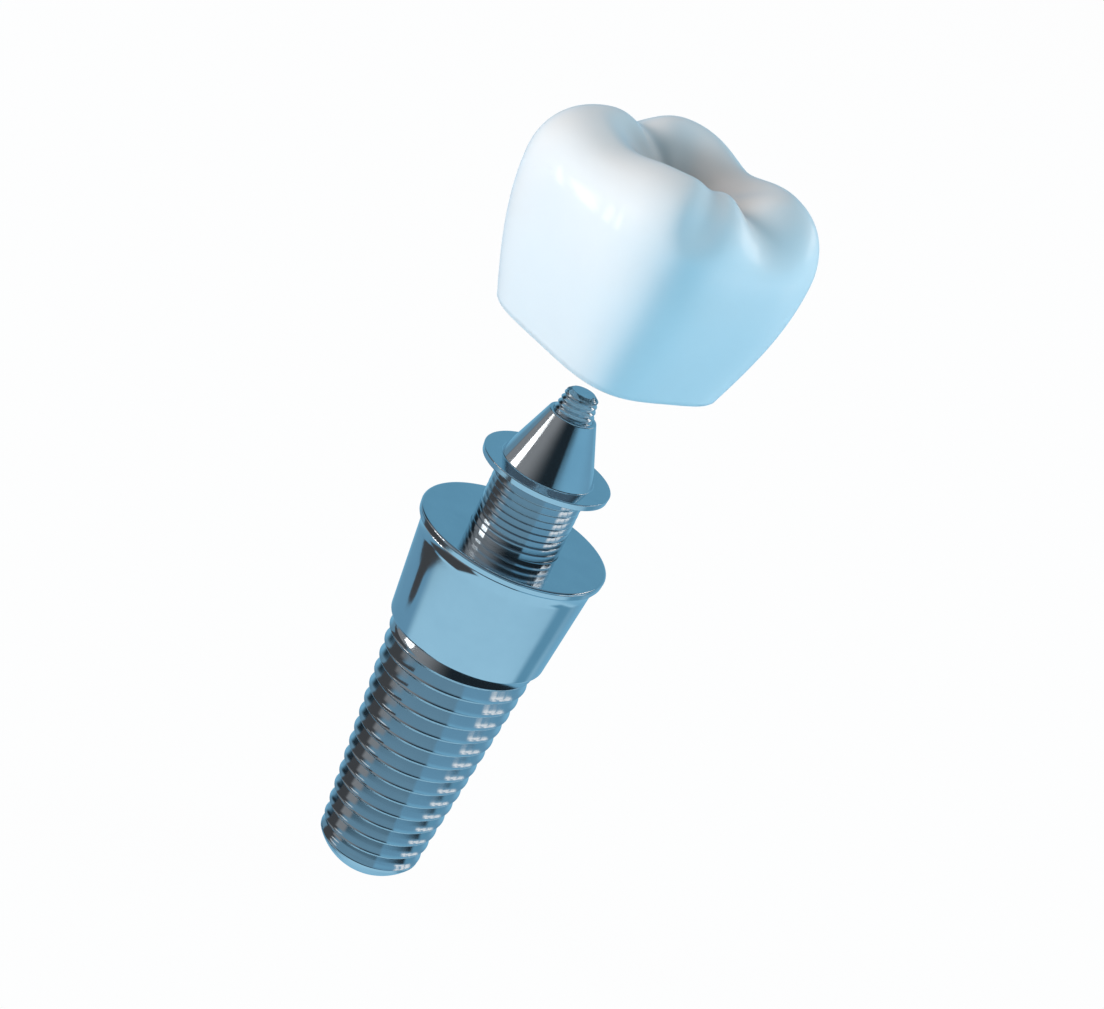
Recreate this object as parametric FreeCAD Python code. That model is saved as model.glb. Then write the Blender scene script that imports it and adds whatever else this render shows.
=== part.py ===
"""Dental implant shown taken apart along its axis: threaded fixture, abutment, abutment screw and molar crown.

All sizes are in millimetres. +Z runs along the implant's axis towards the crown, and z = 0 is the
level of the bone, at the underside of the fixture's collar. +X is the cheek side of the crown and
-Y its front side. The abutment is drawn part of the way out of the fixture, and the crown is
lifted clear of the abutment.
"""

import FreeCAD
import Part

import math
import os

from FreeCAD import Vector

# Fixture collar, the smooth part that stands in the gum
collar_height = 4.25
collar_base_radius = 2.92
collar_neck_radius = 3.25
collar_neck_drop = 0.80
lip_radius = 3.50
lip_height = 0.27
lip_cove_drop = 0.05
lip_cove_radius = 3.44
lip_chamfer = 0.09
cove_fullness = 0.30
collar_base_chamfer = 0.06

# Fixture thread, a tapered right-hand thread with skirts that flare towards the tip
thread_pitch = 0.621
thread_crest_radius_top = 2.774
thread_crest_radius_tip = 1.931
thread_depth = 0.11
thread_under_share = 0.28
thread_length = 9.15
thread_phase_deg = 221.0
tip_dome_radius = 2.295
tip_flat_radius = 0.80
tip_shoulder = 0.012

# Bore of the fixture
bore_depth = 4.70
bore_countersink = 0.04

# Abutment, a flanged cone that slips over its screw
flange_radius = 2.366
flange_thickness = 0.25
flange_chamfer = 0.05
cone_base_radius = 1.70
cone_top_radius = 0.86
cone_height = 2.145

# Abutment screw: neck, shank and tapered end for the crown, their fine threads left plain
neck_radius = 1.657
neck_length = 2.98
neck_chamfer = 0.12
pilot_length = 0.80
pilot_radius = 1.50
shank_radius = 0.71
stub_length = 0.80
stub_base_radius = 0.735
stub_tip_radius = 0.585
stub_chamfer = 0.08

# Molar crown
crown_rim_half_x = 3.60
crown_rim_half_y = 3.19
crown_corner_power = 3.9
crown_belly_height = 5.08
crown_belly_flare = 1.284
crown_rim_round = 0.22
crown_shoulder_power = 5.0
crown_ridge_height = 7.71
crown_ridge_share = 0.69
fossa_height = 5.95

# Running clearances and how far the parts are drawn apart
thread_clearance = 0.035
shank_clearance = 0.025
seat_clearance = 0.02
crown_clearance = 0.04
abutment_lift = 2.60
crown_lift = 5.00

# Number of control points and steps along the surfaces
cove_steps = 3
points_per_turn = 6
crown_points_round = 26
crown_bands_lower = 5
crown_bands_upper = 7

platform_z = collar_height
flange_z = platform_z + abutment_lift
cone_z = flange_z + flange_thickness
stub_z = cone_z + cone_height
crown_z = flange_z + crown_lift
bore_radius = neck_radius + thread_clearance
sleeve_bore_radius = shank_radius + shank_clearance


def revolve(outline):
    """Turn a closed outline of edges in the XZ plane about the Z axis."""
    return Part.Face(Part.Wire(outline)).revolve(Vector(), Vector(0, 0, 1), 360)


def polyline(points):
    """Straight edges through (radius, height) points, closed on themselves."""
    corners = [Vector(r, 0, z) for r, z in points]
    return Part.makePolygon(corners + corners[:1]).Edges


def smooth_step(value):
    """Rise from 0 to 1 with level ends."""
    t = min(max(value, 0.0), 1.0)
    return t * t * (3.0 - 2.0 * t)


def sewn_solid(faces):
    """Solid enclosed by faces that meet edge to edge."""
    shell = Part.Shell(faces)
    shell.sewShape()
    solid = Part.Solid(shell)
    if solid.Volume < 0:
        solid.reverse()
    return solid


def band(lower, upper):
    """Ruled face round the axis between two closed smooth sections given by their control points."""
    around = len(lower)
    surface = Part.BSplineSurface()
    surface.buildFromPolesMultsKnots(
        [lower, upper], [2, 2], [1] * (around + 1), [0.0, 1.0],
        [float(i) for i in range(around + 1)], False, True, 1, 3,
    )
    return surface.toShape()


def level_cap(face, height):
    """Flat face that closes a band at its section of a height."""
    for edge in face.Edges:
        box = edge.BoundBox
        if edge.isClosed() and abs(edge.CenterOfMass.z - height) < 1e-3:
            return Part.Face(Part.Wire([edge]))
    raise ValueError("no flat section at that height")


class Helix:
    """A right-hand helix whose radius follows its height, drawn turn by turn."""

    def __init__(self, start, pitch, phase_deg, turns, radius_at):
        points = []
        shares = []
        for i in range(points_per_turn * turns + 1):
            share = i / points_per_turn
            angle = math.radians(phase_deg) + 2.0 * math.pi * share
            z = start + pitch * share
            r = radius_at(z)
            points.append(Vector(r * math.cos(angle), r * math.sin(angle), z))
            shares.append(share)
        self.curve = Part.BSplineCurve()
        self.curve.interpolate(Points=points, Parameters=shares)

    def point(self, turn):
        return self.curve.value(float(turn))

    def turn(self, number):
        piece = self.curve.copy()
        piece.segment(float(number), float(number + 1))
        return piece.toShape()


def thread(low, high, pitch, phase_deg, form):
    """Solid screw that covers a span of heights.

    The form lists the corners of one tooth from root to root, upwards, each as a share of the
    pitch and a rule that gives its radius at a height. A crest passes the phase angle at z = 0.
    """
    turns = int(math.ceil((high - low) / pitch)) + 3
    start = math.floor(low / pitch) * pitch - pitch
    corners = [Helix(start + share * pitch, pitch, phase_deg, turns + 1, rule) for share, rule in form]
    faces = []
    for k in range(turns):
        lines = [corner.turn(k) for corner in corners] + [corners[0].turn(k + 1)]
        faces += [Part.makeRuledSurface(below, above) for below, above in zip(lines, lines[1:])]
    for k in (0, turns):
        foot = Vector(0, 0, start + k * pitch)
        head = Vector(0, 0, foot.z + pitch)
        faces.append(Part.makeRuledSurface(corners[0].turn(k), Part.makeLine(foot, head)))
        section = [foot] + [corner.point(k) for corner in corners] + [corners[0].point(k + 1), head, foot]
        faces.append(Part.Face(Part.makePolygon(section)))
    return sewn_solid(faces)


def fixture_thread():
    """Tapered thread of the fixture, from the dome of its tip to the underside of the collar."""
    taper = (thread_crest_radius_top - thread_crest_radius_tip) / thread_length

    def crest(z):
        return thread_crest_radius_top + taper * z

    def root(z):
        return crest(z) - thread_depth

    form = [(-thread_under_share, root), (0.0, crest)]
    screw = thread(-thread_length, 0.0, thread_pitch, thread_phase_deg, form)
    span = Part.makeCylinder(2 * thread_crest_radius_top, thread_length, Vector(0, 0, -thread_length))
    return screw.common(span)


def fixture_tip():
    """Smooth dome below the last turn of the thread, part of a ball, with a small flat at its end."""
    rim_radius_tip = thread_crest_radius_tip + tip_shoulder
    centre_z = math.sqrt(tip_dome_radius ** 2 - rim_radius_tip ** 2) - thread_length
    lean_rim = math.asin(rim_radius_tip / tip_dome_radius)
    lean_flat = math.asin(tip_flat_radius / tip_dome_radius)
    rim, middle, flat = [
        Vector(tip_dome_radius * math.sin(lean), 0, centre_z - tip_dome_radius * math.cos(lean))
        for lean in (lean_rim, (lean_rim + lean_flat) / 2, lean_flat)
    ]
    return revolve([
        Part.makeLine(Vector(0, 0, flat.z), flat),
        Part.Arc(flat, middle, rim).toShape(),
        Part.makeLine(rim, Vector(0, 0, rim.z)),
        Part.makeLine(Vector(0, 0, rim.z), Vector(0, 0, flat.z)),
    ])


def fixture():
    """Collar with its rolled lip, tapered thread, domed tip and blind bore."""
    lip_base_z = collar_height - lip_height
    cove_z = lip_base_z - lip_cove_drop
    neck_z = collar_height - collar_neck_drop
    cove = Part.Arc(
        Vector(collar_neck_radius, 0, neck_z),
        Vector(
            collar_neck_radius + cove_fullness * (lip_cove_radius - collar_neck_radius), 0, (neck_z + cove_z) / 2
        ),
        Vector(lip_cove_radius, 0, cove_z),
    ).toShape()
    cove_points = [(point.x, point.z) for point in cove.discretize(cove_steps + 1)]
    collar = revolve(polyline(cove_points + [
        (lip_radius, lip_base_z),
        (lip_radius, collar_height - lip_chamfer),
        (lip_radius - lip_chamfer, collar_height),
        (0, collar_height),
        (0, 0),
        (collar_base_radius - collar_base_chamfer, 0),
        (collar_base_radius, collar_base_chamfer),
    ]))
    body = collar.fuse([fixture_thread(), fixture_tip()])
    mouth = bore_radius + bore_countersink
    floor_z = collar_height - bore_depth
    drill = revolve(polyline([
        (0, floor_z - bore_radius / 2),
        (bore_radius, floor_z),
        (bore_radius, collar_height - bore_countersink),
        (mouth, collar_height),
        (0, collar_height),
    ]))
    return body.cut(drill).removeSplitter()


def abutment():
    """Thin round flange and polished cone, turned in one and bored through for the screw."""
    blank = revolve(polyline([
        (0, flange_z),
        (flange_radius - flange_chamfer, flange_z),
        (flange_radius, flange_z + flange_chamfer),
        (flange_radius, cone_z - flange_chamfer),
        (flange_radius - flange_chamfer, cone_z),
        (cone_base_radius, cone_z),
        (cone_top_radius, stub_z),
        (0, stub_z),
    ]))
    return blank.cut(Part.makeCylinder(sleeve_bore_radius, stub_z - flange_z, Vector(0, 0, flange_z)))


def abutment_screw():
    """Neck below the flange, shank through the cone, and tapered end, plain at their threads' crests."""
    neck_top = flange_z - seat_clearance
    neck_base = neck_top - neck_length
    pilot_base = neck_base - pilot_length
    stub_top = stub_z + stub_length
    return revolve(polyline([
        (0, pilot_base),
        (pilot_radius - neck_chamfer, pilot_base),
        (pilot_radius, pilot_base + neck_chamfer),
        (pilot_radius, neck_base),
        (neck_radius - neck_chamfer, neck_base),
        (neck_radius, neck_base + neck_chamfer),
        (neck_radius, neck_top - neck_chamfer),
        (neck_radius - neck_chamfer, neck_top),
        (shank_radius, neck_top),
        (shank_radius, stub_z),
        (stub_base_radius, stub_z),
        (stub_tip_radius, stub_top - stub_chamfer),
        (stub_tip_radius - stub_chamfer, stub_top),
        (0, stub_top),
    ]))


def rim_radius(angle):
    """Distance from the axis to the crown's rim, a rectangle with soft corners."""
    x = abs(math.cos(angle)) / crown_rim_half_x
    y = abs(math.sin(angle)) / crown_rim_half_y
    return (x ** crown_corner_power + y ** crown_corner_power) ** (-1.0 / crown_corner_power)


# Dips of the ridge between the cusps, as (angle, breadth in degrees, depth)
ridge_dips = [
    (6.0, 14.0, 0.95),
    (92.0, 21.0, 0.50),
    (179.0, 12.0, 0.59),
    (-104.0, 29.0, 0.59),
    (-30.0, 6.0, 0.25),
]

# Grooves down the sides, as (angle, breadth in degrees, depth as a share of the radius, foot, head)
side_grooves = [
    (8.0, 10.0, 0.050, 5.2, 7.0),
    (-34.0, 5.5, 0.055, 5.4, 6.6),
    (91.0, 13.0, 0.040, 5.0, 7.0),
    (180.0, 12.0, 0.040, 5.0, 7.0),
]


def degrees_from(angle, centre):
    """Signed angle in degrees from a centre direction, between -180 and 180."""
    return (math.degrees(angle) - centre + 180.0) % 360.0 - 180.0


def wall_flare(height):
    """Breadth of the crown at a height on its wall, as a share of the rim's breadth."""
    return 1.0 + (crown_belly_flare - 1.0) * math.sin(0.5 * math.pi * min(height / crown_belly_height, 1.0))


def ridge_height(angle):
    """Height of the chewing surface's ridge in a direction."""
    height = crown_ridge_height
    for centre, breadth, depth in ridge_dips:
        height -= depth * math.exp(-0.5 * (degrees_from(angle, centre) / breadth) ** 2)
    return height


def groove_factor(angle, height):
    """Share of the radius that the side grooves leave at an angle and height."""
    left = 1.0
    for centre, breadth, depth, foot, head in side_grooves:
        rise = smooth_step((height - foot) / (head - foot))
        left -= depth * rise * math.exp(-0.5 * (degrees_from(angle, centre) / breadth) ** 2)
    return left


def crown_section(share, height_of):
    """Control points of the crown's section at one share of the rim's breadth."""
    row = []
    for i in range(crown_points_round):
        angle = 2.0 * math.pi * i / crown_points_round
        height = height_of(angle)
        r = rim_radius(angle) * share * groove_factor(angle, height)
        row.append(Vector(r * math.cos(angle), r * math.sin(angle), crown_z + height))
    return row


def crown_shell():
    """Outer form of the crown, from its rim up the walls and over the cusps to the fossa."""
    inset = 1.0 - crown_rim_round / crown_rim_half_y
    sections = [crown_section(inset, lambda a: 0.0)]
    rim_top = 0.5 * crown_rim_round
    for i in range(crown_bands_lower + 1):
        height = rim_top + (crown_belly_height - rim_top) * i / crown_bands_lower
        sections.append(crown_section(wall_flare(height), lambda a: height))
    for i in range(1, crown_bands_upper + 1):
        share = math.cos(0.5 * math.pi * i / (crown_bands_upper + 0.5)) ** 0.8
        dome = math.sqrt(1.0 - share ** crown_shoulder_power)
        climb = smooth_step(share / crown_ridge_share)

        def height_of(angle):
            top = fossa_height + (ridge_height(angle) - fossa_height) * climb
            return crown_belly_height + (top - crown_belly_height) * dome

        sections.append(crown_section(crown_belly_flare * share, height_of))
    pit = sum((point.z for point in sections[-1])) / crown_points_round
    for point in sections[-1]:
        point.z = pit
    faces = [band(lower, upper) for lower, upper in zip(sections, sections[1:])]
    return sewn_solid(faces + [level_cap(faces[0], crown_z), level_cap(faces[-1], pit)])


def crown():
    """Crown with a seat for the flange, a cone socket and a hole for the screw's end."""
    seat_top = crown_z + flange_thickness + crown_clearance
    cone_top = seat_top + cone_height
    socket = revolve(polyline([
        (0, crown_z - crown_clearance),
        (flange_radius + crown_clearance, crown_z - crown_clearance),
        (flange_radius + crown_clearance, seat_top),
        (cone_base_radius + crown_clearance, seat_top),
        (cone_top_radius + crown_clearance, cone_top),
        (stub_base_radius + crown_clearance, cone_top),
        (stub_base_radius + crown_clearance, cone_top + stub_length),
        (0, cone_top + stub_length),
    ]))
    return crown_shell().cut(socket).removeSplitter()


def write_parts():
    """Build each piece and write it to its own file."""
    os.makedirs("parts", exist_ok=True)
    pieces = {
        "fixture": fixture,
        "abutment": abutment,
        "abutment_screw": abutment_screw,
        "crown": crown,
    }
    for name, make in pieces.items():
        shape = make()
        solids = shape.Solids
        box = shape.BoundBox
        print(
            f"{name}: {len(solids)} solid, valid {shape.isValid()}, {shape.Volume:.2f} mm3, "
            f"z {box.ZMin:.2f} to {box.ZMax:.2f}, x {box.XMin:.2f} to {box.XMax:.2f}"
        )
        solids[0].exportStep(f"parts/{name}.step")


write_parts()
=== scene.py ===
"""Dental implant drawn apart along its axis, dressed for its picture: titanium fixture, abutment and
abutment screw in polished metal, and a glazed ceramic molar crown.

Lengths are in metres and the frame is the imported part's: +Z runs along the implant's axis towards the
crown and z = 0 is the underside of the fixture's collar.
"""

import math

import bmesh
import bpy
from mathutils import Matrix, Vector


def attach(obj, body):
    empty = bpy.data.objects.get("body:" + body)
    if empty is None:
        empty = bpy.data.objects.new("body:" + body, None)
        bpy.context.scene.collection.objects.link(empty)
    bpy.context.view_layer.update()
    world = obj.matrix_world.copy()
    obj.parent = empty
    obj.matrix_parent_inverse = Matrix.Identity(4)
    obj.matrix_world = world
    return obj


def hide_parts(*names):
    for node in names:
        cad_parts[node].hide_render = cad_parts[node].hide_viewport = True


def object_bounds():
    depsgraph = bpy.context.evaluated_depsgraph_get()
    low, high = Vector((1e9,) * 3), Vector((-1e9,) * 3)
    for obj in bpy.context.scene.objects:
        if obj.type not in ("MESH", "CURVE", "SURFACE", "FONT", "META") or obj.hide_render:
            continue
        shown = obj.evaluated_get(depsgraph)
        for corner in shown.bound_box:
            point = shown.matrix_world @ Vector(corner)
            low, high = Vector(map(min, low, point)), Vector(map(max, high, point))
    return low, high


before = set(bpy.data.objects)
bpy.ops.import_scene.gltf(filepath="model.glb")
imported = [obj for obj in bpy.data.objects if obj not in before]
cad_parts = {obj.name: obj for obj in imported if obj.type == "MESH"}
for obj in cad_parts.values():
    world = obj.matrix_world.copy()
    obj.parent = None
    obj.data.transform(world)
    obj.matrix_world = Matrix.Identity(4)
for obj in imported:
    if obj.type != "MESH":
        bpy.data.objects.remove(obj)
cad_low, cad_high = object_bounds()

mm = 0.001

# Fixture collar
collar_height = 4.25 * mm
collar_base_radius = 2.92 * mm
collar_neck_radius = 3.25 * mm
collar_neck_drop = 0.80 * mm
lip_radius = 3.50 * mm
lip_height = 0.27 * mm
lip_cove_drop = 0.05 * mm
lip_cove_radius = 3.44 * mm
lip_foot_radius = 3.468 * mm

# Fixture thread
thread_pitch = 0.621 * mm
thread_crest_radius = 2.774 * mm
thread_taper = (2.774 - 1.931) / 9.15
thread_depth = 0.13 * mm
thread_length = 9.15 * mm
thread_crest_angle = 221.0
thread_relief = 0.13 * mm
thread_relief_length = 0.42 * mm
thread_top = 0.4 * mm
tip_dome_radius = 2.295 * mm
tip_dome_rim = 1.943 * mm
tip_flat_radius = 0.80 * mm

# Bore of the fixture
bore_radius = 1.662 * mm
bore_depth = 4.70 * mm

# Abutment
flange_bottom = 6.85 * mm
flange_radius = 2.366 * mm
flange_thickness = 0.25 * mm
flange_foot_radius = 2.336 * mm
cone_base_radius = 1.70 * mm
cone_top_radius = 0.86 * mm
cone_height = 2.145 * mm
sleeve_radius = 0.735 * mm

# Abutment screw
neck_radius = 1.657 * mm
neck_length = 2.98 * mm
neck_thread_pitch = 0.266 * mm
neck_thread_depth = 0.016 * mm
neck_crest_angle = 330.0
pilot_length = 0.80 * mm
pilot_radius = 1.50 * mm
pilot_chamfer = 0.12 * mm
shank_radius = 0.71 * mm
seat_clearance = 0.02 * mm
stub_length = 0.80 * mm
stub_base_radius = 0.735 * mm
stub_tip_radius = 0.585 * mm
stub_chamfer = 0.04 * mm
stub_run_out = 0.12 * mm
stub_crest_angle = 20.0
stub_thread_pitch = 0.20 * mm
stub_thread_depth = 0.06 * mm

# Crown
crown_bottom = 11.85 * mm
rim_half_x = 3.60 * mm
rim_half_y = 3.19 * mm
rim_corner_power = 3.9
rim_round = 0.12 * mm
belly_height = 5.08 * mm
belly_flare = 1.284
shoulder_power = 5.0
ridge_top = 7.71 * mm
ridge_share = 0.69
fossa_floor = 5.95 * mm
crown_clearance = 0.04 * mm

# Smoothness of the turned and threaded surfaces
segments_round = 192
steps_per_turn = 96

cone_bottom = flange_bottom + flange_thickness
stub_bottom = cone_bottom + cone_height
tip_bottom = (
    math.sqrt(tip_dome_radius ** 2 - tip_dome_rim ** 2) - thread_length
    - math.sqrt(tip_dome_radius ** 2 - tip_flat_radius ** 2)
)


def deselect_all():
    """Leave object mode with nothing selected."""
    if bpy.context.object and bpy.context.object.mode != "OBJECT":
        bpy.ops.object.mode_set(mode="OBJECT")
    bpy.ops.object.select_all(action="DESELECT")


def pick(piece):
    """Make one piece the selected and active one."""
    deselect_all()
    piece.select_set(True)
    bpy.context.view_layer.objects.active = piece


def finished_normals(piece):
    """Merge doubles and turn all faces outwards."""
    pick(piece)
    bpy.ops.object.mode_set(mode="EDIT")
    bpy.ops.mesh.select_all(action="SELECT")
    bpy.ops.mesh.remove_doubles(threshold=0.0005 * mm)
    bpy.ops.mesh.normals_make_consistent(inside=False)
    bpy.ops.object.mode_set(mode="OBJECT")


def held(outline, hold):
    """Add a station near both ends of each long straight, so that smooth shading keeps it straight."""
    stations = [outline[0]]
    for (radius, height), (next_radius, next_height) in zip(outline, outline[1:]):
        length = math.hypot(next_radius - radius, next_height - height)
        if length > 2.1 * hold:
            for share in (hold / length, 1.0 - hold / length):
                stations.append((
                    radius + (next_radius - radius) * share, height + (next_height - height) * share
                ))
        stations.append((next_radius, next_height))
    return stations


def turned(name, outline, hold=0.5 * mm):
    """Turned solid: a disc drawn up ring by ring through (radius, height) stations, then closed."""
    deselect_all()
    outline = held(outline, hold)
    first_radius, first_height = outline[0]
    bpy.ops.mesh.primitive_circle_add(
        vertices=segments_round, radius=first_radius, fill_type="NGON", location=(0, 0, first_height)
    )
    piece = bpy.context.object
    piece.name = name
    bpy.ops.object.transform_apply(location=True, rotation=False, scale=False)
    bpy.ops.object.mode_set(mode="EDIT")
    bpy.ops.mesh.select_all(action="SELECT")
    for (radius, height), (next_radius, next_height) in zip(outline, outline[1:]):
        bpy.ops.mesh.extrude_region_move(
            TRANSFORM_OT_translate={"value": (0, 0, next_height - height)}
        )
        growth = next_radius / radius
        bpy.ops.transform.resize(value=(growth, growth, 1), center_override=(0, 0, next_height))
    bpy.ops.object.mode_set(mode="OBJECT")
    finished_normals(piece)
    return piece


def bevelled(piece, width, least_angle=25.0, steps=3):
    """Round the edges that turn by more than an angle."""
    pick(piece)
    bevel = piece.modifiers.new("edge_round", "BEVEL")
    bevel.width = width
    bevel.segments = steps
    bevel.limit_method = "ANGLE"
    bevel.angle_limit = math.radians(least_angle)
    bevel.use_clamp_overlap = False
    bpy.ops.object.modifier_apply(modifier=bevel.name)
    return piece


def combined(piece, tool, operation):
    """Join a tool to a piece, or take it away, and delete the tool."""
    pick(piece)
    boolean = piece.modifiers.new("combine", "BOOLEAN")
    boolean.operation = operation
    boolean.solver = "EXACT"
    boolean.object = tool
    bpy.ops.object.modifier_apply(modifier=boolean.name)
    bpy.data.objects.remove(tool)
    return piece


def smoothed(piece, sharp_angle=38.0):
    """Shade smooth, with edges that turn by more than an angle kept crisp."""
    pick(piece)
    bpy.ops.object.shade_smooth_by_angle(angle=math.radians(sharp_angle))
    return piece


def smooth_step(value):
    """Soft step from 0 at 0 to 1 at 1."""
    t = min(max(value, 0.0), 1.0)
    return t * t * (3.0 - 2.0 * t)


def helical_rod(name, tooth, pitch, low, high, crest_angle, radius_rule):
    """Threaded rod between two heights.

    The tooth is a row of (share of the pitch, share of the depth) points from one crest up to the
    next. It is swept up a helix at unit radius, and then each vertex is drawn in to its radius by
    the rule, which takes the height and the share of the depth.
    """
    turns = math.ceil((high - low) / pitch) + 3
    first_crest = (math.floor(low / pitch) - 1) * pitch
    deselect_all()
    bpy.ops.mesh.primitive_circle_add(vertices=3, radius=mm, location=(0, 0, 0))
    piece = bpy.context.object
    piece.name = name
    profile = bmesh.new()
    crest_line = [
        profile.verts.new((mm * (1.0 + depth_share), 0.0, share * pitch)) for share, depth_share in tooth
    ]
    for start, end in zip(crest_line, crest_line[1:]):
        profile.edges.new((start, end))
    profile.to_mesh(piece.data)
    profile.free()
    pick(piece)
    sweep = piece.modifiers.new("helix", "SCREW")
    sweep.angle = 2.0 * math.pi
    sweep.screw_offset = pitch
    sweep.iterations = turns
    sweep.steps = steps_per_turn
    sweep.render_steps = steps_per_turn
    sweep.use_merge_vertices = True
    sweep.merge_threshold = 0.001 * mm
    bpy.ops.object.modifier_apply(modifier=sweep.name)
    turn = Matrix.Rotation(math.radians(crest_angle), 4, "Z")
    piece.data.transform(Matrix.Translation((0, 0, first_crest)) @ turn)
    for vertex in piece.data.vertices:
        x, y, z = vertex.co
        spread = math.hypot(x, y)
        radius = radius_rule(z, spread / mm - 1.0)
        vertex.co = (x * radius / spread, y * radius / spread, z)
    bpy.ops.object.mode_set(mode="EDIT")
    for height, normal in ((low, (0, 0, 1)), (high, (0, 0, -1))):
        bpy.ops.mesh.select_all(action="SELECT")
        bpy.ops.mesh.bisect(
            plane_co=(0, 0, height), plane_no=normal, use_fill=True, clear_inner=True, clear_outer=False
        )
    bpy.ops.object.mode_set(mode="OBJECT")
    finished_normals(piece)
    return piece


def ride_on(piece, body, node):
    """Set a finished piece on its body, in place of its node."""
    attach(piece, body)
    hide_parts(node)
    return piece


def tooth(flank_share, hollow, roll, flare=0.0):
    """One tooth as (share of the pitch, share of the depth) points, from a crest up to the next.

    Above the crest comes the flank, hollow to a power and flared at the crest by a share of the
    depth, then the root and the straight underside of the next turn. Crest and root are rolled over
    a share of the pitch.
    """
    def sharp(share):
        share %= 1.0
        if share < flank_share:
            left = 1.0 - share / flank_share
            return 1.0 - (1.0 - flare) * left ** hollow - flare * left ** 6
        return (1.0 - share) / (1.0 - flank_share)

    def rolled(share):
        near = [sharp(share + roll * k / 6) for k in range(-6, 7)]
        return sum(near) / len(near)

    crest = [roll * k / 4 for k in range(6)]
    flank = [1.4 * roll + (flank_share - 2.8 * roll) * (k / 9) ** 1.6 for k in range(1, 9)]
    root = [flank_share + roll * k / 3 for k in range(-4, 5)]
    underside = [flank_share + (1.0 - flank_share) * k / 4 for k in range(1, 4)]
    stations = sorted({*crest, *flank, *root, *underside, *[1.0 - share for share in crest]})
    depths = [rolled(share) for share in stations]
    least, most = min(depths), max(depths)
    return [(share, (depth - least) / (most - least)) for share, depth in zip(stations, depths)]


def fixture_body_radius(height, depth_share):
    """Radius of the threaded body: relieved under the collar, and run out into the ball-shaped tip."""
    crest = thread_crest_radius + thread_taper * min(height, 0.0)
    crest -= thread_relief * smooth_step((height + thread_relief_length) / thread_relief_length)
    run_out = smooth_step((height + thread_length + 0.05 * mm) / (0.35 * mm))
    tooth = crest - thread_depth * depth_share * run_out
    dome_centre = math.sqrt(tip_dome_radius ** 2 - tip_dome_rim ** 2) - thread_length
    below = height - dome_centre
    if below > -0.2 * mm:
        return tooth
    dome = math.sqrt(max(tip_dome_radius ** 2 - below ** 2, (0.3 * mm) ** 2))
    return min(tooth, dome)


def make_fixture():
    """Collar with its rolled lip, joined to the threaded body and bored."""
    lip_foot = collar_height - lip_height
    crease = 0.02 * mm
    cove_top = lip_foot - lip_cove_drop
    neck = collar_height - collar_neck_drop
    cove = []
    cove_steps = 8
    for i in range(1, cove_steps):
        share = i / cove_steps
        bulge = collar_neck_radius + (lip_cove_radius - collar_neck_radius) * share ** 1.65
        cove.append((bulge, neck + (cove_top - neck) * share))
    collar = turned("fixture_metal", [
        (collar_base_radius, 0.0),
        (collar_neck_radius, neck),
        *cove,
        (lip_cove_radius, cove_top),
        (lip_cove_radius - 0.4 * crease, cove_top + crease),
        (lip_foot_radius, lip_foot),
        (lip_radius, collar_height),
        (lip_radius - 0.3 * mm, collar_height),
    ], hold=0.125 * mm)
    bevelled(collar, 0.10 * mm, least_angle=80.0, steps=6)
    body = helical_rod(
        "threaded_body", tooth(0.84, 1.0, 0.035, 0.30), thread_pitch, tip_bottom, thread_top,
        thread_crest_angle, fixture_body_radius,
    )
    combined(collar, body, "UNION")
    floor = collar_height - bore_depth
    drill = turned("drill", [
        (0.02 * mm, floor - bore_radius / 2),
        (bore_radius, floor),
        (bore_radius, collar_height + mm),
    ])
    combined(collar, drill, "DIFFERENCE")
    return smoothed(collar)


def make_abutment():
    """Thin flange with rounded rim and the polished cone on it, bored through."""
    blank = turned("abutment_metal", [
        (flange_foot_radius, flange_bottom),
        (flange_radius, cone_bottom),
        (cone_base_radius, cone_bottom),
        (cone_top_radius, stub_bottom),
    ], hold=0.045 * mm)
    bevelled(blank, 0.03 * mm, least_angle=60.0, steps=4)
    reamer = turned("reamer", [(sleeve_radius, flange_bottom - mm), (sleeve_radius, stub_bottom + mm)])
    combined(blank, reamer, "DIFFERENCE")
    return smoothed(blank)


def make_screw():
    """Fine-threaded neck, plain pilot and shank, and the tapered threaded end."""
    neck_top = flange_bottom - seat_clearance
    neck_bottom = neck_top - neck_length

    def neck_rule(height, depth_share):
        return neck_radius - neck_thread_depth * depth_share

    def stub_rule(height, depth_share):
        share = (height - stub_bottom) / stub_length
        crest = stub_base_radius + (stub_tip_radius - stub_base_radius) * share
        below_top = stub_bottom + stub_length - height
        run_out = smooth_step(below_top / stub_run_out)
        return crest - stub_thread_depth * depth_share * run_out - max(0.0, stub_chamfer - below_top)

    neck = helical_rod(
        "abutment_screw_metal", tooth(0.80, 0.5, 0.06), neck_thread_pitch, neck_bottom, neck_top,
        neck_crest_angle, neck_rule,
    )
    core = turned("core", [
        (pilot_radius - pilot_chamfer, neck_bottom - pilot_length),
        (pilot_radius, neck_bottom - pilot_length + pilot_chamfer),
        (pilot_radius, neck_top - 0.3 * mm),
        (shank_radius, neck_top - 0.2 * mm),
        (shank_radius, stub_bottom),
        (stub_base_radius - stub_thread_depth - 0.03 * mm, stub_bottom + 0.05 * mm),
    ])
    stub = helical_rod(
        "stub", tooth(0.60, 1.4, 0.09), stub_thread_pitch, stub_bottom - 0.1 * mm,
        stub_bottom + stub_length, stub_crest_angle, stub_rule,
    )
    pick(neck)
    core.select_set(True)
    stub.select_set(True)
    bpy.ops.object.join()
    return smoothed(neck)


# Dips of the ridge between the cusps, as (angle, breadth in degrees, depth)
ridge_dips = [
    (6.0, 14.0, 0.95 * mm),
    (92.0, 21.0, 0.50 * mm),
    (179.0, 12.0, 0.59 * mm),
    (-104.0, 29.0, 0.59 * mm),
    (-30.0, 6.0, 0.25 * mm),
]

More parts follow.
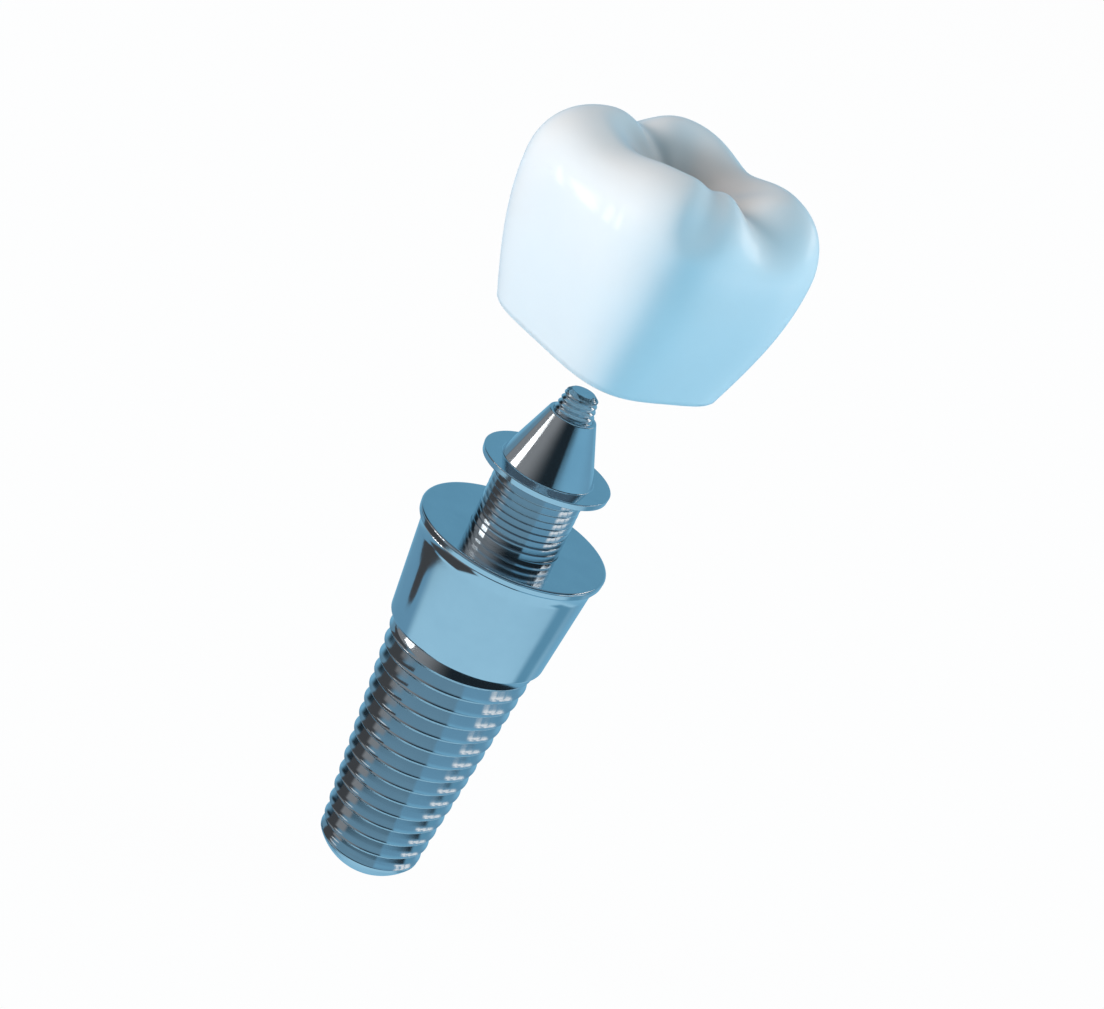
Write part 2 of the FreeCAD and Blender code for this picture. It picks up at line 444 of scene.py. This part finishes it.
# Grooves down the sides, as (angle, breadth in degrees, depth as a share of the radius, foot, head)
side_grooves = [
    (8.0, 10.0, 0.050, 5.2 * mm, 7.0 * mm),
    (-34.0, 5.5, 0.055, 5.4 * mm, 6.6 * mm),
    (91.0, 13.0, 0.040, 5.0 * mm, 7.0 * mm),
    (180.0, 12.0, 0.040, 5.0 * mm, 7.0 * mm),
]


def degrees_from(angle, centre):
    """Degrees from a centre angle, -180 to 180."""
    return (math.degrees(angle) - centre + 180.0) % 360.0 - 180.0


def bell(angle, centre, breadth):
    """Soft hump, 1 at the centre angle."""
    return math.exp(-0.5 * (degrees_from(angle, centre) / breadth) ** 2)


def rim_radius(angle):
    """Radius of the crown's rim, a rectangle with well rounded corners."""
    x = abs(math.cos(angle)) / rim_half_x
    y = abs(math.sin(angle)) / rim_half_y
    return (x ** rim_corner_power + y ** rim_corner_power) ** (-1.0 / rim_corner_power)


def crown_point(angle, climb):
    """Point of the crown's skin: from its rim at climb 0, over the cusps, to the fossa at climb 1."""
    wall_share = 0.45
    if climb < wall_share:
        height = rim_round + (belly_height - rim_round) * climb / wall_share
        share = 1.0 + (belly_flare - 1.0) * math.sin(0.5 * math.pi * height / belly_height)
        breadth = share
    else:
        over = (climb - wall_share) / (1.0 - wall_share)
        share = math.cos(0.5 * math.pi * over) ** 0.8 if over < 1.0 else 0.0
        dome = math.sqrt(1.0 - share ** shoulder_power)
        ridge = ridge_top - sum(depth * bell(angle, at, width) for at, width, depth in ridge_dips)
        top = fossa_floor + (ridge - fossa_floor) * smooth_step(share / ridge_share)
        height = belly_height + (top - belly_height) * dome
        breadth = belly_flare * share
    left = 1.0
    for at, width, depth, foot, head in side_grooves:
        left -= depth * bell(angle, at, width) * smooth_step((height - foot) / (head - foot))
    radius = rim_radius(angle) * breadth * left
    return Vector((radius * math.cos(angle), radius * math.sin(angle), crown_bottom + height))


def make_crown():
    """Ball drawn to the form of the crown, its rim rounded under, with the abutment's seat cut in."""
    rings = 96
    deselect_all()
    bpy.ops.mesh.primitive_uv_sphere_add(segments=segments_round, ring_count=rings, radius=mm)
    piece = bpy.context.object
    piece.name = "crown_ceramic"
    under_rings = 8
    for vertex in piece.data.vertices:
        x, y, z = vertex.co
        angle = math.atan2(y, x)
        row = round(rings * (1.0 - math.acos(max(-1.0, min(1.0, z / mm))) / math.pi))
        if row >= under_rings:
            vertex.co = crown_point(angle, (row - under_rings) / (rings - under_rings))
        else:
            if row < 2:
                radius = 0.0 if row == 0 else 0.6 * rim_radius(angle)
                height = 0.0
            else:
                turn = (row - 2) / (under_rings - 2)
                radius = rim_radius(angle) - rim_round * (1.0 - math.sin(0.5 * math.pi * turn))
                height = rim_round * (1.0 - math.cos(0.5 * math.pi * turn))
            vertex.co = (radius * math.cos(angle), radius * math.sin(angle), crown_bottom + height)
    finished_normals(piece)
    seat_top = crown_bottom + flange_thickness + crown_clearance
    cone_top = seat_top + cone_height
    cutter = turned("seat_cutter", [
        (flange_radius + crown_clearance, crown_bottom - mm),
        (flange_radius + crown_clearance, seat_top),
        (cone_base_radius + crown_clearance, seat_top),
        (cone_top_radius + crown_clearance, cone_top),
        (stub_base_radius + crown_clearance, cone_top),
        (stub_base_radius + crown_clearance, cone_top + stub_length + crown_clearance),
    ])
    combined(piece, cutter, "DIFFERENCE")
    return smoothed(piece, 45.0)


class Socket:
    """A shader value, so that node maths reads as plain expressions."""

    def __init__(self, tree, output):
        self.tree = tree
        self.output = output

    def node(self, kind, settings=None, inputs=None, out=0):
        """Add a node of a type, with its settings made first and then its sockets filled."""
        made = self.tree.nodes.new(kind)
        for key, value in (settings or {}).items():
            if key == "stops":
                ramp = made.color_ramp
                while len(ramp.elements) < len(value):
                    ramp.elements.new(0.5)
                for element, (place, tint) in zip(ramp.elements, value):
                    element.position = place
                    element.color = (*tint, 1.0)
            else:
                setattr(made, key, value)
        for key, value in (inputs or {}).items():
            if isinstance(value, Socket):
                self.tree.links.new(value.output, made.inputs[key])
            else:
                made.inputs[key].default_value = value
        return Socket(self.tree, made.outputs[out])

    def maths(self, operation, *others):
        """Math node on this value and on the others."""
        inputs = {0: self}
        inputs.update({i + 1: other for i, other in enumerate(others)})
        return self.node("ShaderNodeMath", {"operation": operation}, inputs)

    def __add__(self, other):
        return self.maths("ADD", other)

    __radd__ = __add__

    def __mul__(self, other):
        return self.maths("MULTIPLY", other)

    __rmul__ = __mul__

    def __sub__(self, other):
        return self.maths("SUBTRACT", other)

    def __rsub__(self, other):
        return (self * -1.0) + other

    def __truediv__(self, other):
        return self.maths("DIVIDE", other)

    def step(self, low, high):
        """Soft step from 0 below low to 1 above high; with low above high it falls."""
        return self.node(
            "ShaderNodeMapRange", {"interpolation_type": "SMOOTHSTEP"},
            {"Value": self, "From Min": low, "From Max": high},
        )

    def between(self, low, high, soft_low, soft_high):
        """Mask that is 1 from low to high, with soft edges outside them."""
        return self.step(low - soft_low, low) * self.step(high + soft_high, high)

    def mix(self, first, second):
        """Colour that goes from the first to the second as this value goes from 0 to 1."""
        return self.node("ShaderNodeMix", {"data_type": "RGBA"}, {0: self, 6: first, 7: second}, out=2)

    def into(self, node, name):
        """Link this value to a node's input."""
        self.tree.links.new(self.output, node.inputs[name])


def colour(red, green, blue):
    """Screen colour out of 255 as the linear colour of a socket."""
    def linear(value):
        share = value / 255.0
        return share / 12.92 if share <= 0.04045 else ((share + 0.055) / 1.055) ** 2.4

    return (linear(red), linear(green), linear(blue), 1.0)


def new_material(name):
    """Material with its shader and the piece's own coordinates to start from."""
    material = bpy.data.materials.new(name)
    material.use_nodes = True
    tree = material.node_tree
    shader = tree.nodes["Principled BSDF"]
    start = Socket(tree, tree.nodes.new("ShaderNodeTexCoord").outputs["Object"])
    return material, shader, start


def titanium_finish():
    """Mirror-polished titanium with the faint rings that turning leaves."""
    material, shader, place = new_material("polished_titanium")
    along = place.node("ShaderNodeSeparateXYZ", None, {0: place}, out=2)
    cloud = place.node("ShaderNodeTexNoise", None, {"Vector": place, "Scale": 900.0, "Detail": 3.0})
    rings = along.node("ShaderNodeCombineXYZ", None, {2: along})
    ring_grain = rings.node(
        "ShaderNodeTexNoise", None, {"Vector": rings, "Scale": 42000.0, "Detail": 2.0}
    )
    tone = cloud.mix(colour(205, 213, 219), colour(222, 228, 232))
    tone.into(shader, "Base Color")
    (cloud * 0.05 + 0.075).into(shader, "Roughness")
    bump = ring_grain.node(
        "ShaderNodeBump", None, {"Strength": 0.04, "Distance": 0.00001, "Height": ring_grain}
    )
    bump.into(shader, "Normal")
    shader.inputs["Metallic"].default_value = 1.0
    return material


def ceramic_finish():
    """Glazed white tooth ceramic, with painted shade that makes it darker and a little warmer towards
    the fossa.
    """
    material, shader, place = new_material("glazed_ceramic")
    cloud = place.node("ShaderNodeTexNoise", None, {"Vector": place, "Scale": 420.0, "Detail": 3.0})
    glaze = cloud.mix(colour(244, 246, 247), colour(250, 250, 249))
    aside = place.node("ShaderNodeSeparateXYZ", None, {0: place}, out=0)
    deep = place.node("ShaderNodeSeparateXYZ", None, {0: place}, out=1)
    rise = place.node("ShaderNodeSeparateXYZ", None, {0: place}, out=2)
    spread = (aside * aside + deep * deep).maths("SQRT")
    # Painted shade: the base colour turns darker and warmer inside the occlusal basin, where the cusps
    # shade the fossa
    painted_fossa_shade = spread.step(3.0 * mm, 1.7 * mm) * rise.step(crown_bottom + 4.6 * mm, crown_bottom + 5.4 * mm)
    tone = painted_fossa_shade.mix(glaze, colour(212, 209, 207))
    tone.into(shader, "Base Color")
    (cloud * 0.06 + 0.30).into(shader, "Roughness")
    ripple = place.node("ShaderNodeTexNoise", None, {"Vector": place, "Scale": 1500.0, "Detail": 1.0})
    bump = ripple.node("ShaderNodeBump", None, {"Strength": 0.03, "Distance": 0.00002, "Height": ripple})
    bump.into(shader, "Normal")
    shader.inputs["IOR"].default_value = 1.45
    shader.inputs["Coat Weight"].default_value = 0.5
    shader.inputs["Coat Roughness"].default_value = 0.04
    return material


titanium = titanium_finish()
ceramic = ceramic_finish()

pieces = [
    (make_fixture(), "fixture", "fixture", "titanium", titanium),
    (make_abutment(), "abutment", "abutment", "titanium", titanium),
    (make_screw(), "abutment_screw", "abutment_screw", "titanium", titanium),
    (make_crown(), "crown", "crown", "ceramic", ceramic),
]
for piece, body, node, slot, finish in pieces:
    piece.data.materials.clear()
    piece.data.materials.append(finish)
    ride_on(piece, body, node)
for name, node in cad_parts.items():
    node.data.materials.clear()
    node.data.materials.append(ceramic if name == "crown" else titanium)

# Studio: pale floor under the tip, bright to the camera and faintly shaded by the object
floor_size = 4.0
floor_drop = 0.4 * mm
floor_whiteness = 0.98
pure_white = (1.0, 1.0, 1.0, 1.0)
bpy.ops.mesh.primitive_plane_add(size=floor_size, location=(0, 0, cad_low.z - floor_drop))
floor = bpy.context.object
floor.name = "floor"
floor.visible_glossy = False

floor_paint = bpy.data.materials.new("floor_paint")
floor_paint.use_nodes = True
floor_tree = floor_paint.node_tree
floor_tree.nodes.clear()
floor_rays = Socket(floor_tree, floor_tree.nodes.new("ShaderNodeLightPath").outputs["Is Camera Ray"])
floor_white = floor_rays.node("ShaderNodeEmission", None, {"Color": pure_white, "Strength": 1.0})
floor_matt = floor_rays.node("ShaderNodeBsdfDiffuse", None, {"Color": colour(170, 214, 238)})
floor_mix = floor_rays.node(
    "ShaderNodeMixShader", None, {0: floor_rays * floor_whiteness, 1: floor_matt, 2: floor_white}
)
floor_out = floor_tree.nodes.new("ShaderNodeOutputMaterial")
floor_mix.into(floor_out, "Surface")
floor.data.materials.append(floor_paint)

# World: white behind the object, a pale blue room for its light, and the panels that polished
# metal mirrors, placed by azimuth (from the camera's side of the axis towards the right) and height
studio_turn = 42.0
world = bpy.context.scene.world or bpy.data.worlds.new("studio")
bpy.context.scene.world = world
world.use_nodes = True
room = world.node_tree
room.nodes.clear()
looking = Socket(room, room.nodes.new("ShaderNodeTexCoord").outputs["Generated"])
across = looking.node("ShaderNodeSeparateXYZ", None, {0: looking}, out=0)
deep = looking.node("ShaderNodeSeparateXYZ", None, {0: looking}, out=1)
upward = looking.node("ShaderNodeSeparateXYZ", None, {0: looking}, out=2)
turn_cos = math.cos(math.radians(studio_turn))
turn_sin = math.sin(math.radians(studio_turn))
to_right = across * turn_cos + deep * turn_sin
to_camera = across * turn_sin - deep * turn_cos
azimuth = to_right.maths("ARCTAN2", to_camera) * (180.0 / math.pi)
height = upward.maths("ARCSINE") * (180.0 / math.pi)

charcoal = colour(72, 73, 75)
near_black = colour(30, 38, 44)
slate = colour(110, 148, 170)
dim_slate = colour(88, 110, 126)
mid_blue = colour(112, 160, 188)
sky_blue = colour(124, 180, 210)
pale_blue = colour(168, 216, 240)
deep_blue = colour(104, 158, 186)
white = colour(255, 255, 255)
grey = colour(140, 141, 143)


def by_height(stops):
    """Colour of the room by its height in degrees."""
    places = [((degrees + 90.0) / 180.0, tint[:3]) for degrees, tint in stops]
    return height.node("ShaderNodeValToRGB", {"stops": places}, {0: (height + 90.0) / 180.0})


def panel(under, tint, sides, heights, soft_sides, soft_height, strength=1.0):
    """Lay a soft-edged panel over the room, from one azimuth to another and between two heights."""
    mask = azimuth.between(*sides, *soft_sides) * height.between(*heights, soft_height, soft_height)
    return (mask * strength).mix(under, tint)


# Front: pale floor, a dark skirting below the horizon, slate wall, dark ceiling. Right and back: blue
front_room = by_height([
    (-90.0, pale_blue), (-34.0, pale_blue), (-29.0, near_black), (-22.0, near_black), (-18.0, slate),
    (4.0, slate), (16.0, near_black), (36.0, near_black), (46.0, dim_slate), (90.0, charcoal),
])
right_room = by_height([
    (-90.0, pale_blue), (-34.0, pale_blue), (-27.0, mid_blue), (-9.0, mid_blue), (9.0, sky_blue),
    (17.5, sky_blue), (20.5, near_black), (38.0, near_black), (48.0, dim_slate),
])
back_room = by_height([(-90.0, pale_blue), (-31.0, sky_blue), (0.0, sky_blue), (27.0, deep_blue)])
seen = azimuth.step(27.0, 33.0).mix(front_room, right_room)
behind = azimuth.maths("ABSOLUTE").step(128.0, 150.0)
seen = behind.mix(seen, back_room)
# Dark shelf at the right, blue floor, dark door and dark corner at the left
seen = panel(seen, near_black, (26.0, 96.0), (-27.0, -22.0), (8.0, 16.0), 2.0)
seen = panel(seen, mid_blue, (-150.0, -92.0), (-60.0, -27.0), (20.0, 16.0), 3.0)
seen = panel(seen, charcoal, (-110.0, -80.0), (-26.0, 3.0), (6.0, 14.0), 4.0)
seen = panel(seen, charcoal, (-124.0, -56.0), (-76.0, -44.0), (8.0, 8.0), 3.0)
# Grey wall that fades to the front, grey and white strips, deep blue corner and the bright blinds
seen = panel(seen, grey, (-109.0, -56.0), (9.0, 38.0), (7.0, 61.0), 5.0)
seen = panel(seen, grey, (-109.0, -86.0), (2.0, 12.0), (7.0, 8.0), 4.0)
seen = panel(seen, grey, (-80.0, -62.0), (-27.0, -19.0), (9.0, 9.0), 3.0)
seen = panel(seen, white, (-76.0, -62.0), (-6.0, -4.0), (7.0, 7.0), 1.5, 0.9)
seen = panel(seen, deep_blue, (108.0, 120.0), (-44.0, -24.0), (14.0, 14.0), 6.0)
blotch = looking.node("ShaderNodeTexNoise", None, {"Vector": looking, "Scale": 16.0, "Detail": 2.0})
blinds = azimuth.between(80.0, 112.0, 8.0, 8.0) * height.between(-16.0, -6.0, 4.0, 5.0)
seen = (blinds * blotch.step(0.38, 0.54)).mix(seen, white)

camera_ray = Socket(room, room.nodes.new("ShaderNodeLightPath").outputs["Is Camera Ray"])
glossy_ray = Socket(room, camera_ray.output.node.outputs["Is Glossy Ray"])
mirrored = glossy_ray.node("ShaderNodeBackground", None, {"Color": seen, "Strength": 1.0})
left_light = (0.42, 0.50, 0.58, 1.0)
right_light = (1.06, 2.30, 3.04, 1.0)
top_light = (0.11, 0.13, 0.14, 1.0)
side_light = to_right.step(-0.9, 0.1).mix(left_light, right_light)
lit = upward.step(0.0, 0.55).mix(side_light, top_light)
ambient = glossy_ray.node("ShaderNodeBackground", None, {"Color": lit, "Strength": 1.0})
backdrop = camera_ray.node("ShaderNodeBackground", None, {"Color": pure_white, "Strength": 1.0})
lighting = glossy_ray.node("ShaderNodeMixShader", None, {0: glossy_ray, 1: ambient, 2: mirrored})
world_mix = camera_ray.node("ShaderNodeMixShader", None, {0: camera_ray, 1: lighting, 2: backdrop})
world_out = room.nodes.new("ShaderNodeOutputWorld")
world_mix.into(world_out, "Surface")


def studio_place(turn, distance, rise):
    """Point at an azimuth on the camera's side, a distance from the axis and a height."""
    angle = math.radians(turn + studio_turn - 90.0)
    return Vector((distance * math.cos(angle), distance * math.sin(angle), rise))


def facing_axis(thing, place, aim_height):
    """Set a lamp or card at a place with its -Z towards the axis at a height."""
    way = Vector((0, 0, aim_height)) - place
    turn = way.to_track_quat("-Z", "Y").to_matrix().to_4x4()
    thing.matrix_world = Matrix.Translation(place) @ turn


lamp_size = 0.11
lamp_distance = 0.25
lamp_aim = 10.0 * mm


def soft_lamp(name, turn, rise_angle, power, tint):
    """Large soft lamp that lights the object and isn't mirrored itself."""
    lamp = bpy.data.objects.new(name, bpy.data.lights.new(name, "AREA"))
    lamp.data.shape = "DISK"
    lamp.data.size = lamp_size
    lamp.data.energy = power
    lamp.data.color = tint
    lamp.visible_glossy = False
    bpy.context.scene.collection.objects.link(lamp)
    lift = lamp_aim + lamp_distance * math.tan(math.radians(rise_angle))
    facing_axis(lamp, studio_place(turn, lamp_distance, lift), lamp_aim)


slat_pitch = 3.4 * mm
slat_wander = 5.0
slat_shade = (0.2, 0.2, 0.2, 1.0)


def mirror_card(name, outline, turn, distance, tint, bars):
    """Flat card that only polished surfaces see, by its (across, height) outline in millimetres."""
    deselect_all()
    bpy.ops.mesh.primitive_circle_add(vertices=len(outline), radius=mm, fill_type="NGON")
    card = bpy.context.object
    card.name = name
    foot = studio_place(turn, distance, 0.0)
    across = studio_place(turn + 90.0, 1.0, 0.0)
    for vertex, (aside, rise) in zip(card.data.vertices, outline):
        vertex.co = foot + across * aside * mm + Vector((0, 0, rise * mm))
    card.visible_camera = False
    card.visible_diffuse = False
    card.visible_shadow = False
    paint = bpy.data.materials.new(name + "_paint")
    paint.use_nodes = True
    tree = paint.node_tree
    tree.nodes.clear()
    place = Socket(tree, tree.nodes.new("ShaderNodeTexCoord").outputs["Object"])
    glow = tint
    if bars:
        aside = place.node(
            "ShaderNodeVectorMath", {"operation": "DOT_PRODUCT"}, {0: place, 1: across}, out="Value"
        )
        wander = place.node("ShaderNodeTexNoise", None, {"Vector": place, "Scale": 90.0, "Detail": 1.0})
        slat = (aside * (2.0 * math.pi / slat_pitch) + wander * slat_wander).maths("SINE")
        glow = slat.step(-0.5, 0.5).mix(slat_shade, tint)
    shine = place.node("ShaderNodeEmission", None, {"Color": glow, "Strength": 1.0})
    shine.into(tree.nodes.new("ShaderNodeOutputMaterial"), "Surface")
    card.data.materials.append(paint)


soft_lamp("left_lamp", -74.0, 14.0, 0.54, (1.0, 0.86, 0.78))
soft_lamp("right_lamp", 120.0, 26.0, 0.36, (1.0, 0.95, 0.92))
bright = (4.4, 4.3, 4.2, 1.0)
soft_white = (2.4, 2.4, 2.4, 1.0)
softbox_distance = 40.0 * mm
left_box = [(-4.5, 8), (9, 8), (9, 18), (-4.5, 18)]
right_box = [(-14, 26), (14, 26), (14, 35), (-14, 35)]
mirror_card("left_softbox", left_box, -80.0, softbox_distance, bright, True)
mirror_card("right_softbox", right_box, 126.0, softbox_distance, soft_white, True)
dark_flag = [
    (-3.6, -0.2), (-2.9, -1.6), (-1.5, -2.5), (-0.5, -2.8), (-0.4, -4.3), (0.2, -4.6), (1.5, -4.6),
    (2.1, -4.2), (2.3, -3.2), (3.0, -3.0), (5.0, -3.0), (7.0, -3.3), (9.0, -3.9), (12.5, -4.6),
    (12.5, -2.0), (4.0, -0.2),
]
mirror_card("left_flag", dark_flag, -95.0, 11.0 * mm, charcoal, False)

# Camera: a long lens from in front and above, leaned over so that the implant lies across the frame
lip_centre = Vector((0, 0, 4.155 * mm))
camera_offset = Vector((0.1929, -23.6204, 10.3106)) * lip_radius
camera_rise = 22.54
camera_lean = 25.79
lens_pixels = 2600.0
frame_pixels = 1104.0
sensor_width = 36.0
side_turn = Matrix.Rotation(math.radians(studio_turn), 4, "Z")
camera_data = bpy.data.cameras.new("photo_camera")
camera = bpy.data.objects.new("photo_camera", camera_data)
bpy.context.scene.collection.objects.link(camera)
camera.matrix_world = (
    Matrix.Translation(lip_centre)
    @ side_turn
    @ Matrix.Translation(camera_offset)
    @ Matrix.Rotation(math.radians(90.0 - camera_rise), 4, "X")
    @ Matrix.Rotation(math.radians(camera_lean), 4, "Z")
)
camera_data.sensor_fit = "HORIZONTAL"
camera_data.sensor_width = sensor_width
camera_data.lens = sensor_width * lens_pixels / frame_pixels
camera_data.clip_start = mm
camera_data.clip_end = 10.0
bpy.context.scene.camera = camera
bpy.context.scene.view_settings.view_transform = "Standard"
